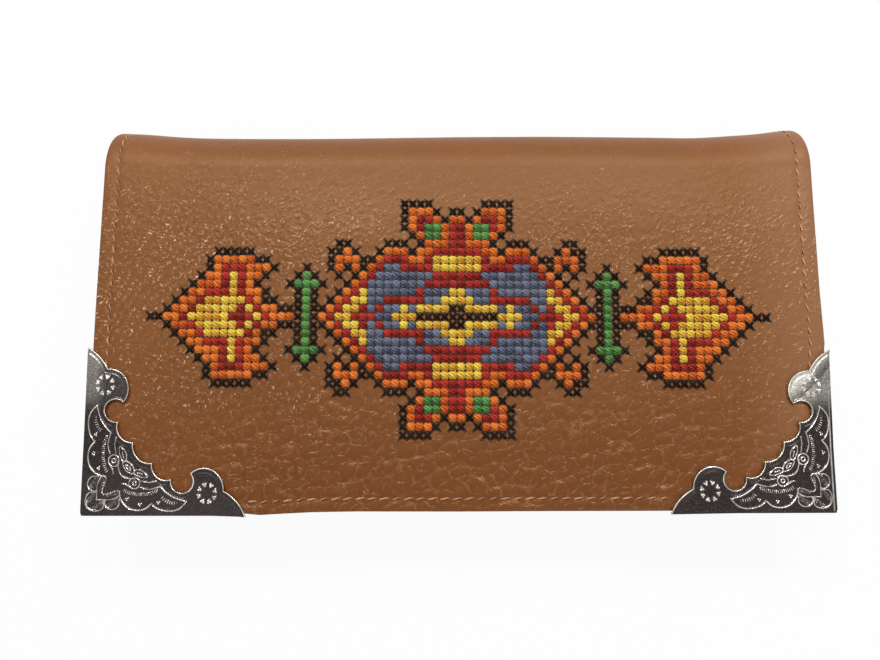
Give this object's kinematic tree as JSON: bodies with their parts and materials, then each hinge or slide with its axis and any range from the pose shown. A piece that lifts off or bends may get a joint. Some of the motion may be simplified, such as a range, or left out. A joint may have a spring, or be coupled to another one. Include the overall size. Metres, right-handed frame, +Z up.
{
  "type": "wallet",
  "caption": "Long flap wallet of pebbled leather with a cross-stitched flap, stamped metal corners, note pockets and a zipped coin pocket.",
  "frame": {"origin": "middle of the closed wallet's outline, on the table under its back panel", "axes": "+X along the wallet's width, +Y towards the rolled fold, +Z up through the flap"},
  "size_m": [0.19, 0.1032, 0.0255],
  "materials": {
    "tan_leather": "pebbled, satin",
    "tan_flap_leather": "pebbled, satin",
    "brown_lining": "matte",
    "card_strip_leather": "smooth, satin",
    "zip_tape": "woven, matte",
    "zip_brass": "satin",
    "antique_silver": "stamped, darkened in the hollows",
    "snap_metal": "polished",
    "black_thread": "cotton thread, matte",
    "orange_thread": "cotton thread, matte",
    "dark_red_thread": "cotton thread, matte",
    "yellow_thread": "cotton thread, matte",
    "blue_grey_thread": "cotton thread, matte",
    "green_thread": "cotton thread, matte"
  },
  "bodies": {
    "body": {"body_leather": "tan_leather", "body_lining": "brown_lining", "coin_pocket": "brown_lining", "gusset_left": "brown_lining", "gusset_right": "brown_lining", "card_strip_top": "card_strip_leather", "card_strip_middle": "card_strip_leather", "card_strip_bottom": "card_strip_leather", "snap_socket": "snap_metal", "zip_tape_front": "zip_tape", "zip_tape_rear": "zip_tape", "zip_teeth_front": "zip_brass", "zip_teeth_rear": "zip_brass", "zip_stop_closed": "zip_brass", "zip_stop_open": "zip_brass"},
    "spine": {"spine_leather": "tan_leather", "spine_lining": "brown_lining"},
    "flap": {"flap_leather": "tan_flap_leather", "flap_lining": "brown_lining", "snap_stud": "snap_metal", "corner_left": "antique_silver", "corner_right": "antique_silver", "stitch_arrow_green_left": "green_thread", "stitch_arrow_green_right": "green_thread", "stitch_bar_yellow_lower": "yellow_thread", "stitch_bar_yellow_upper": "yellow_thread", "stitch_blue_left": "blue_grey_thread", "stitch_blue_right": "blue_grey_thread", "stitch_chevron_yellow_left": "yellow_thread", "stitch_chevron_yellow_right": "yellow_thread", "stitch_flower_orange_lower_left": "orange_thread", "stitch_flower_orange_lower_right": "orange_thread", "stitch_flower_orange_upper_left": "orange_thread", "stitch_flower_orange_upper_right": "orange_thread", "stitch_ground_black": "black_thread", "stitch_leaf_green_lower_left": "green_thread", "stitch_leaf_green_lower_right": "green_thread", "stitch_leaf_green_upper_left": "green_thread", "stitch_leaf_green_upper_right": "green_thread", "stitch_medallion_orange": "orange_thread", "stitch_medallion_red": "dark_red_thread", "stitch_palmette_orange_left": "orange_thread", "stitch_palmette_orange_right": "orange_thread", "stitch_palmette_red_left": "dark_red_thread", "stitch_palmette_red_right": "dark_red_thread", "stitch_palmette_yellow_left": "yellow_thread", "stitch_palmette_yellow_right": "yellow_thread", "stitch_star_centre_black": "black_thread", "stitch_star_yellow": "yellow_thread"},
    "zip_slider": {"zip_slider": "zip_brass"},
    "zip_pull": {"zip_pull": "zip_brass"}
  },
  "joints": [
    {"name": "spine_fold", "type": "hinge", "parent": "body", "child": "spine", "pos_m": [0, 0.04893, 0.00258], "axis": [-1, 0, 0], "range_deg": [0, 90]},
    {"name": "flap_fold", "type": "hinge", "parent": "spine", "child": "flap", "pos_m": [0, 0.04893, 0.02142], "axis": [-1, 0, 0], "range_deg": [0, 88]},
    {"name": "zip_slide", "type": "slide", "parent": "body", "child": "zip_slider", "axis": [1, 0, 0], "range_m": [0, 0.1424]},
    {"name": "pull_hinge", "type": "hinge", "parent": "zip_slider", "child": "zip_pull", "pos_m": [-0.0712, 0.03445, 0.0091], "axis": [0, 0, 1], "range_deg": [0, 180]}
  ]
}
